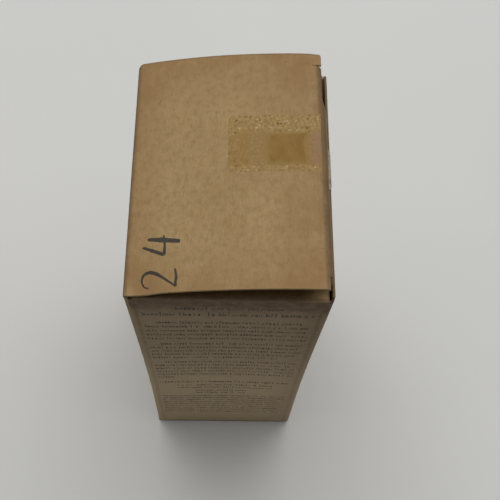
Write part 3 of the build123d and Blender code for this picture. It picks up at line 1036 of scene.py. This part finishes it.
tape_paper, tree, shader = new_finish("tape_paper", 0.7)
place = attribute(tree, "sheet", "Vector")
cloud = noisy(tree, place, 0.30, 4.0, 0.6)
fine = noisy(tree, place, 2.6, 3.0, 0.65)
colour = mixed(tree, stepped(tree, cloud, 0.35, 0.65), ply_dark, ply_light)
colour = mixed(tree, stepped(tree, fine, 0.52, 0.75, 0.0, 0.4), colour, ply_fleck)
colour = mixed(tree, times(tree, fibre_web(tree, place), 0.15), colour, ply_fibre)
worn_through = stepped(tree, noisy(tree, place, 0.45, 3.0), 0.4, 0.7, -0.15, 0.2)
whole = plus(tree, attribute(tree, "core", "Fac"), worn_through)
colour = mixed(tree, stepped(tree, whole, 0.0, 1.0), ply_thin, colour)
shader.inputs["Specular IOR Level"].default_value = 0.15
tree.links.new(colour, shader.inputs["Base Color"])
tree.links.new(stepped(tree, fine, 0.3, 0.7, 0.55, 0.8), shader.inputs["Roughness"])
relief(tree, shader, fine, 0.025 * mm)


def ply_edge(s, b):
    """How far inside its torn outline a point of the ply is."""
    edge = np.minimum(np.minimum(s - ply_start, ply_end - s), np.minimum(b - ply_back, ply_front - b))
    return edge - 0.50 - 0.42 * ragged(s + 3, b, 4.2) - 0.10 * ragged(s, b, 0.8)


def ply_height(s, b):
    """A thin even ply with a torn outline, over the gum."""
    edge = ply_edge(s, b)
    return np.where(edge > 0, 0.086 + 0.030 * smooth(edge / 0.8) + 0.006 * ragged(s, b, 3.0), -0.02)


ply = crust(
    "tape_paper_ply", ply_start, ply_end, ply_back, ply_front, ply_height,
    lambda s, b: {"core": smooth(ply_edge(s, b) / 0.9)}, tape_paper,
)
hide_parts("tape_ply")
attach(ply, "lid")

# ---------------------------------------------------------------------------------------------
# The torn end: the tape's other end, still on the right wall, torn off along the wall's rim.
# Its broken fibres are whitish, and a purple-brown spot of gum is left near one end.
end_low, end_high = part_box("tape_remnant")
torn_front, torn_back = end_low.y / mm, end_high.y / mm
torn_bottom, torn_top = end_low.z / mm, end_high.z / mm
torn_brown, torn_tan = (0.235, 0.160, 0.085, 1), (0.330, 0.240, 0.140, 1)
torn_grey, torn_white = (0.30, 0.225, 0.150, 1), (0.54, 0.48, 0.40, 1)
gum_spot = (0.085, 0.045, 0.045, 1)
rim_round = 0.35  # how far up the paper's bend over the rim takes

torn_paper, tree, shader = new_finish("torn_tape_paper", 0.85)
place = attribute(tree, "sheet", "Vector")
fuzz = noisy(tree, place, 1.0, 4.0, 0.65, 0.2, (0.8, 4.0, 1))
patch = noisy(tree, place, 0.5, 3.0, 0.6)
pale = attribute(tree, "pale", "Fac")
bare = mixed(tree, stepped(tree, fuzz, 0.38, 0.60), torn_brown, torn_tan)
white = mixed(tree, stepped(tree, fuzz, 0.38, 0.60), torn_grey, torn_white)
torn_share = plus(tree, pale, stepped(tree, patch, 0.40, 0.62, -0.25, 0.30))
colour = mixed(tree, stepped(tree, torn_share, 0.35, 0.75), bare, white)
colour = mixed(tree, times(tree, attribute(tree, "spot", "Fac"), 0.85), colour, gum_spot)
tree.links.new(colour, shader.inputs["Base Color"])
relief(tree, shader, fuzz, 0.06 * mm)

torn_y = np.linspace(torn_front, torn_back, 66)
up_wall = torn_top - torn_bottom - rim_round
over_rim = up_wall + np.array([0.12, 0.25, 0.4, 0.55, 0.75, 0.95])
torn_path = np.concatenate([np.linspace(0, up_wall, 26), over_rim])


def torn_point(y, u, out):
    """Up the wall's face, then over its rim: u along the paper, out from the wall."""
    rim = carton_height - torn_bottom
    over = np.clip(u - rim, 0, None)
    turn = np.clip(over / rim_round, 0, pi / 2)
    flat = np.clip(over - rim_round * pi / 2, 0, None)
    x = right_x + 0.02 - 0.2 * (1 - np.cos(turn)) - flat + out * np.cos(turn)
    z = torn_bottom + np.clip(u, None, rim) + 0.2 * np.sin(turn) + out * np.sin(turn) * 0.8
    return np.column_stack([x, y, z])


yy, uu = (v.ravel() for v in np.meshgrid(torn_y, torn_path))
reach = np.minimum(np.minimum(yy - torn_front, torn_back - yy), uu)
reach = np.minimum(reach, torn_path[-1] - uu + 0.05)
reach = reach - 0.42 - 0.38 * ragged(yy, uu, 2.4) - 0.12 * ragged(yy, uu, 0.7)
pale = near_line(uu - torn_path[-1], 3.2) + 0.3 * near_line(reach, 0.5)
thick = np.where(reach > 0, 0.045 + 0.05 * smooth(reach / 0.3) * (0.6 + 0.4 * ragged(yy, uu, 0.8)), -0.03)
top = torn_point(yy, uu, thick)
under = torn_point(yy, uu, np.full(yy.size, -film_root))
spot = near_line(np.hypot(yy - torn_front - 1.9, (uu - 5.6) * 0.9), 1.2) ** 0.4
torn_end = finish_mesh(
    "torn_tape_end", np.concatenate([top, under]), film_faces(len(torn_path), len(torn_y)),
    {
        "sheet": np.stack([np.tile(yy, 2) + 300, np.tile(uu, 2), np.zeros(2 * yy.size)], axis=1),
        "spot": np.tile(spot, 2),
        "pale": np.tile(np.clip(pale, 0, 1), 2),
    },
    torn_paper, film_sharp,
)
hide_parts("tape_remnant")
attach(torn_end, "sleeve")

# ---------------------------------------------------------------------------------------------
# The print: rows of small black letterpress on the front wall, worn and brown with age.
# The wording is left out. Bars, dashes and slanted strokes stand for letters, and spell nothing.
ink_black, ink_brown, ink_worn = (0.040, 0.032, 0.024, 1), (0.085, 0.068, 0.048, 1), (0.230, 0.180, 0.115, 1)
faded_ink, tree, shader = new_finish("faded_ink", 0.7)
place = shader_node(tree, "ShaderNodeTexCoord").outputs["Object"]
inked = noisy(tree, place, 900.0, 3.0, 0.7)
patchy = noisy(tree, place, 90.0, 3.0, 0.6)
colour = mixed(tree, stepped(tree, inked, 0.40, 0.62), ink_black, ink_brown)
colour = mixed(tree, stepped(tree, patchy, 0.50, 0.72, 0.0, 0.6), colour, ink_worn)
tree.links.new(colour, shader.inputs["Base Color"])
tree.links.new(stepped(tree, inked, 0.3, 0.7, 0.6, 0.8), shader.inputs["Roughness"])

ink_rise = 0.035  # mm that the ink film stands off the board
word_gap = 1.7  # between words, in marks
fewest, too_many = 2, 9  # marks in a word: at least the first, and fewer than the second
type_marks = bpy.data.collections.new("type_marks")


def stroke_mark(name, strokes):
    """A flat mark with thickness, one unit high, from strokes given as quads."""
    points, faces = [], []
    for quad in strokes:
        k = len(points)
        points += [(x, 0.0, z) for x, z in quad] + [(x, ink_rise * 0.9, z) for x, z in quad]
        faces += [(k, k + 1, k + 2, k + 3), (k + 7, k + 6, k + 5, k + 4)]
        faces += [(k + i, k + 4 + i, k + 4 + (i + 1) % 4, k + (i + 1) % 4) for i in range(4)]
    mesh = bpy.data.meshes.new(name)
    mesh.from_pydata(points, [], faces)
    type_marks.objects.link(bpy.data.objects.new(name, mesh))


def bar(x, z0, z1, width=0.17):
    """An upright stroke."""
    return ((x - width / 2, z0), (x + width / 2, z0), (x + width / 2, z1), (x - width / 2, z1))


stroke_mark("mark_a", [bar(0, 0, 1, 0.22)])
stroke_mark("mark_b", [bar(0, 0.02, 0.60, 0.50)])
stroke_mark("mark_c", [bar(-0.2, 0, 0.62, 0.18), bar(0.2, 0.05, 0.66, 0.18)])
stroke_mark("mark_d", [bar(0, 0.22, 0.44, 0.62)])
stroke_mark("mark_e", [((-0.28, 0.0), (-0.06, 0.0), (0.30, 0.66), (0.08, 0.66))])
stroke_mark("mark_f", [bar(-0.22, 0, 0.9, 0.2), bar(0.12, 0.1, 0.5, 0.36)])


def rows_tree():
    """Geometry nodes that set marks along each straight edge, as a row."""
    tree = bpy.data.node_groups.new("printed_rows", "GeometryNodeTree")
    face = tree.interface
    face.new_socket("Rows", in_out="INPUT", socket_type="NodeSocketGeometry")
    for label, kind in (
        ("Mark pitch", "Float"), ("Mark height", "Float"), ("Boldness", "Float"), ("Filled share", "Float"),
        ("Seed", "Int"), ("Marks", "Collection"), ("Ink", "Material"),
    ):
        face.new_socket(label, in_out="INPUT", socket_type="NodeSocket" + kind)
    face.new_socket("Print", in_out="OUTPUT", socket_type="NodeSocketGeometry")
    made = {}
    for key, kind in (
        ("in", "NodeGroupInput"), ("out", "NodeGroupOutput"), ("curve", "GeometryNodeMeshToCurve"),
        ("points", "GeometryNodeResampleCurve"), ("marks", "GeometryNodeCollectionInfo"),
        ("pick", "FunctionNodeRandomValue"), ("keep", "FunctionNodeRandomValue"),
        ("vary", "FunctionNodeRandomValue"), ("scale", "ShaderNodeCombineXYZ"), ("wide", "ShaderNodeMath"),
        ("set", "GeometryNodeInstanceOnPoints"), ("real", "GeometryNodeRealizeInstances"),
        ("ink", "GeometryNodeSetMaterial"), ("seed2", "ShaderNodeMath"), ("seed3", "ShaderNodeMath"),
    ):
        made[key] = tree.nodes.new(kind)
    made["points"].mode = "LENGTH"
    made["pick"].data_type = "INT"
    made["keep"].data_type = "BOOLEAN"
    made["vary"].data_type = "FLOAT"
    made["marks"].inputs["Separate Children"].default_value = True
    made["marks"].inputs["Reset Children"].default_value = True
    made["wide"].operation = "MULTIPLY"
    for key, add in (("seed2", 7), ("seed3", 19)):
        made[key].operation = "ADD"
        made[key].inputs[1].default_value = add
    source = made["in"].outputs

    join = tree.links.new

    def socket(node, name):
        """A node's input in use, by its name."""
        return [s for s in made[node].inputs if s.name == name and s.enabled][0]

    def drawn(node):
        """The random value that a node draws."""
        return [s for s in made[node].outputs if s.enabled][0]

    socket("pick", "Min").default_value = 0
    socket("pick", "Max").default_value = 5
    socket("vary", "Min").default_value = 0.86
    socket("vary", "Max").default_value = 1.14
    join(source["Rows"], made["curve"].inputs[0])
    join(made["curve"].outputs[0], made["points"].inputs["Curve"])
    join(source["Mark pitch"], socket("points", "Length"))
    join(source["Marks"], made["marks"].inputs["Collection"])
    join(source["Seed"], socket("pick", "Seed"))
    join(source["Seed"], made["seed2"].inputs[0])
    join(source["Seed"], made["seed3"].inputs[0])
    join(made["seed2"].outputs[0], socket("keep", "Seed"))
    join(made["seed3"].outputs[0], socket("vary", "Seed"))
    join(source["Filled share"], socket("keep", "Probability"))
    join(drawn("vary"), made["wide"].inputs[0])
    join(source["Boldness"], made["wide"].inputs[1])
    join(made["wide"].outputs[0], made["scale"].inputs[0])
    made["scale"].inputs[1].default_value = 1.0
    join(source["Mark height"], made["scale"].inputs[2])
    join(made["points"].outputs[0], made["set"].inputs["Points"])
    join(drawn("keep"), made["set"].inputs["Selection"])
    join(made["marks"].outputs[0], made["set"].inputs["Instance"])
    made["set"].inputs["Pick Instance"].default_value = True
    join(drawn("pick"), made["set"].inputs["Instance Index"])
    join(made["scale"].outputs[0], made["set"].inputs["Scale"])
    join(made["set"].outputs[0], made["real"].inputs[0])
    join(made["real"].outputs[0], made["ink"].inputs["Geometry"])
    join(source["Ink"], made["ink"].inputs["Material"])
    join(made["ink"].outputs[0], made["out"].inputs[0])
    return tree


printed_rows = rows_tree()
left_margin = carton_width / 14  # of the print, and the unit that its rows are measured across in


def print_rows(name, rows, pitch, height, boldness, filled, seed):
    """Rows of marks on the front wall.

    Each row is its start and end, in left margins from the wall's left edge, and its base line's
    depth below the wall's top, in mm.
    """
    points, edges = [], []
    words = np.random.default_rng(seed)
    for first, last, depth in rows:
        level = carton_height - depth
        x, end = first * left_margin, last * left_margin
        while x < end - pitch:
            long = min(pitch * words.integers(fewest, too_many), end - x)
            points += [(x, 0.0, level), (x + long, 0.0, level)]
            edges.append((len(points) - 2, len(points) - 1))
            x += long + pitch * word_gap
    lines = bpy.data.meshes.new(name + "_lines")
    lines.from_pydata(points, edges, [])
    holder = bpy.data.objects.new(name + "_lines", lines)
    bpy.context.scene.collection.objects.link(holder)
    modifier = holder.modifiers.new("rows", "NODES")
    modifier.node_group = printed_rows
    sockets = {s.name: s.identifier for s in printed_rows.interface.items_tree if s.in_out == "INPUT"}
    for label, value in (
        ("Mark pitch", pitch), ("Mark height", height), ("Boldness", boldness), ("Filled share", filled),
        ("Seed", seed), ("Marks", type_marks), ("Ink", faded_ink),
    ):
        modifier[sockets[label]] = value
    bpy.context.view_layer.update()
    shown = holder.evaluated_get(bpy.context.evaluated_depsgraph_get())
    mesh = bpy.data.meshes.new_from_object(shown)
    holder.modifiers.clear()
    bpy.data.objects.remove(holder)
    co = np.array([v.co for v in mesh.vertices], float)
    wall = wall_places["front_wall"](co[:, 0] - upright_fold, co[:, 2], np.zeros(len(co)))
    wall[:, 1] += -ink_rise + co[:, 1]
    mesh.vertices.foreach_set("co", (wall * mm).astype(np.float32).ravel())
    mesh.name = name
    made = bpy.data.objects.new(name, mesh)
    bpy.context.scene.collection.objects.link(made)
    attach(made, "sleeve")


indent = 1.9  # where a paragraph's first row starts
wide, narrow = 12.9, 12.8  # where full rows end
heading_rows = [(3.44, 10.7, 7.40), (1.1, wide, 11.35)]
small_rows = [(indent, 12.6, 16.67)] + [(1, wide, depth) for depth in (19.54, 22.56, 25.51, 28.52)]
small_rows += [(indent, narrow, 32.91)] + [(1, wide, depth) for depth in (35.92, 38.80, 41.67)]
small_rows += [(1, 11.2, 44.69)]
small_rows += [(indent, narrow, 48.85)] + [(1, narrow, depth) for depth in (51.87, 54.89, 57.91, 60.92)]
small_rows += [(1, 2.6, 63.94)]
small_rows += [(2.6, 11.3, depth) for depth in (72.92, 75.80)] + [(4.3, 9.2, depth) for depth in (79.17, 81.76)]
line_rows = [(1, 12.7, 69.33)]
foot_depth, foot_spacing, foot_count = 85.50, 2.586, 9  # the foot's first row, and the rows' pitch
foot_rows = [(1, narrow, foot_depth + k * foot_spacing) for k in range(foot_count)]
print_rows("front_print_heading", heading_rows, pitch=0.92, height=2.3, boldness=1.15, filled=0.97, seed=3)
print_rows("front_print_text", small_rows, pitch=0.68, height=1.75, boldness=0.86, filled=0.97, seed=5)
print_rows("front_print_line", line_rows, pitch=0.76, height=1.9, boldness=0.95, filled=0.97, seed=8)
print_rows("front_print_foot", foot_rows, pitch=0.56, height=1.45, boldness=0.72, filled=0.96, seed=13)

# ---------------------------------------------------------------------------------------------
# The pencilled number: two digits written on the lid by hand with a soft pencil, read from the
# right. The graphite catches only the raised fibres, so the strokes are grainy.
graphite_grey, bared_brown = (0.016, 0.016, 0.014, 1), (0.090, 0.070, 0.048, 1)
graphite, tree, shader = new_finish("graphite", 0.62)
place = attribute(tree, "sheet", "Vector")
tooth = noisy(tree, place, 3.2, 3.0, 0.7)
streaks = noisy(tree, place, 1.4, 2.0, 0.5, 0.9, (0.6, 3.0, 1))
gaps = stepped(tree, tooth, 0.36, 0.60, 0.0, 0.75)
bared = plus(tree, gaps, stepped(tree, streaks, 0.45, 0.7, 0.0, 0.3))
colour = mixed(tree, bared, graphite_grey, bared_brown)
tree.links.new(colour, shader.inputs["Base Color"])
tree.links.new(stepped(tree, tooth, 0.3, 0.7, 0.42, 0.75), shader.inputs["Roughness"])

pencil_rise, pencil_root = 0.014, -0.02  # how far a stroke stands off the lid, and lies in it
pencil_step = 0.2
stroke_end = 0.45  # of a stroke's width, at its two ends


def pencil_stroke(points, widths):
    """A ribbon on the lid along points (s, b), with a width at each point. Gives points and faces."""
    points, widths = np.array(points, float), np.array(widths, float)
    steps = np.concatenate([[0], np.cumsum(np.linalg.norm(np.diff(points, axis=0), axis=1))])
    fine = np.arange(0, steps[-1] + pencil_step / 2, pencil_step)
    fine[-1] = steps[-1]
    smooth_line = np.column_stack([np.interp(fine, steps, points[:, k]) for k in (0, 1)])
    for _ in range(6):
        smooth_line[1:-1] = (smooth_line[:-2] + 2 * smooth_line[1:-1] + smooth_line[2:]) / 4
    half = np.interp(fine, steps, widths) / 2
    half = half * (1 + 0.12 * ragged(smooth_line[:, 0], smooth_line[:, 1], 0.9))
    half[0] *= stroke_end
    half[-1] *= stroke_end
    way = np.gradient(smooth_line, axis=0)
    way = way / np.linalg.norm(way, axis=1)[:, None]
    across = np.column_stack([-way[:, 1], way[:, 0]])
    rings = []
    for share, level in ((-1, 0), (-0.45, 1), (0.45, 1), (1, 0)):
        side = smooth_line + across * (half * share)[:, None]
        rings.append((side, np.full(len(fine), level * pencil_rise)))
    root = np.full(len(fine), pencil_root)
    rings += [(rings[3][0], root), (rings[0][0], root)]
    sb = np.concatenate([r[0] for r in rings])
    rise = np.concatenate([r[1] for r in rings])
    count, faces = len(fine), []
    for k in range(6):
        m = (k + 1) % 6
        for i in range(count - 1):
            faces.append((k * count + i, m * count + i, m * count + i + 1, k * count + i + 1))
    faces += [tuple(k * count for k in range(6)), tuple(k * count + count - 1 for k in range(5, -1, -1))]
    return sb, rise, faces


# Each digit is written in its own frame: w to its right, h up from its foot, both in mm.
# Its right is towards the back of the carton, and its top towards the hinge.
digit_strokes = [
    # a 2
    (0, [((0.6, 6.6), (0.9, 7.7), (2.2, 8.3), (3.6, 7.9), (4.1, 6.6), (3.6, 5.0), (2.2, 3.0), (0.5, 0.7)),
         (0.35, 0.42, 0.45, 0.6, 0.8, 0.78, 0.5, 0.45)]),
    (0, [((0.5, 0.7), (1.2, 0.95), (2.6, 0.7), (4.6, 1.1)), (0.45, 0.6, 0.62, 0.4)]),
    # a 4
    (1, [((2.4, 8.4), (1.6, 6.4), (0.4, 3.6), (2.2, 3.5), (5.0, 3.9)), (0.5, 0.8, 0.85, 0.55, 0.38)]),
    (1, [((4.2, 7.4), (3.9, 4.6), (3.3, 0.2)), (0.7, 1.15, 0.9)]),
]
digit_foot = 12.2  # from the hinge to the digits' feet
digit_starts = (58.0, 50.6)  # from the back to each digit's left side
sb_all, rise_all, face_all = [], [], []
base = 0
for digit, (points, widths) in digit_strokes:
    lid_points = [(digit_foot - h, digit_starts[digit] - w) for w, h in points]
    sb, rise, faces = pencil_stroke(lid_points, widths)
    sb_all.append(sb)
    rise_all.append(rise)
    face_all += [tuple(v + base for v in f) for f in faces]
    base += len(sb)
sb, rise = np.concatenate(sb_all), np.concatenate(rise_all)
number = finish_mesh(
    "pencilled_number", lid_point(sb[:, 0], sb[:, 1], -rise), face_all,
    {"sheet": np.stack([sb[:, 1] + lid_blank_a, sb[:, 0] + carton_height, 0 * rise], axis=1)}, graphite, 60,
)
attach(number, "lid")

# ---------------------------------------------------------------------------------------------
# The studio: a pale table, soft light from above and behind, and a camera high over the front.
floor_mesh = bpy.data.meshes.new("pale_table")
half_side = 2.5
corners = ((-1, -1), (1, -1), (1, 1), (-1, 1))
floor_mesh.from_pydata([(half_side * x, half_side * y, 0) for x, y in corners], [], [(0, 1, 2, 3)])
pale_table = bpy.data.objects.new("pale_table", floor_mesh)
bpy.context.scene.collection.objects.link(pale_table)
table_cool, table_warm = (0.74, 0.745, 0.73, 1), (0.77, 0.77, 0.755, 1)
table_white, tree, shader = new_finish("table_white", 0.75)
place = shader_node(tree, "ShaderNodeTexCoord").outputs["Object"]
tone = noisy(tree, place, 6.0, 3.0, 0.5)
colour = mixed(tree, stepped(tree, tone, 0.35, 0.65), table_cool, table_warm)
tree.links.new(colour, shader.inputs["Base Color"])
floor_mesh.materials.append(table_white)

world = bpy.data.worlds.new("studio")
bpy.context.scene.world = world
world.use_nodes = True
room_light = world.node_tree.nodes["Background"]
room_light.inputs["Color"].default_value = (1.0, 0.99, 0.97, 1)
room_light.inputs["Strength"].default_value = 0.045


def soft_box(name, location, target, size, power, colour=(1, 1, 1)):
    """A soft rectangular lamp turned to a point."""
    lamp = bpy.data.lights.new(name, "AREA")
    lamp.shape = "RECTANGLE"
    lamp.size, lamp.size_y = size
    lamp.energy = power
    lamp.color = colour
    made = bpy.data.objects.new(name, lamp)
    bpy.context.scene.collection.objects.link(made)
    made.location = location
    made.visible_camera = False
    way = Vector(np.array(target) - np.array(location))
    made.rotation_euler = way.to_track_quat("-Z", "Y").to_euler()


soft_box("window_light", (-0.05, 0.75, 1.25), (0, 0.02, 0.05), (1.6, 1.1), 7.0, (1.0, 0.99, 0.97))
soft_box("ceiling_light", (0.05, 0.42, 1.5), (0, 0.1, 0), (2.4, 1.7), 18.2)
soft_box("table_glow", (0, -0.30, 0.03), (0, 0, 0.02), (0.8, 0.06), 0.12)

bpy.context.scene.view_settings.view_transform = "Standard"
camera_data = bpy.data.cameras.new("camera")
camera_data.sensor_width = 36.0
camera_data.lens = 57.95
camera_data.clip_start = 0.01
camera_data.clip_end = 20.0
camera = bpy.data.objects.new("camera", camera_data)
bpy.context.scene.collection.objects.link(camera)
camera.location = (-0.001746, -0.088125, 0.278025)
camera.rotation_euler = (radians(23.932), radians(-2.2755), radians(0.2312))
bpy.context.scene.camera = camera
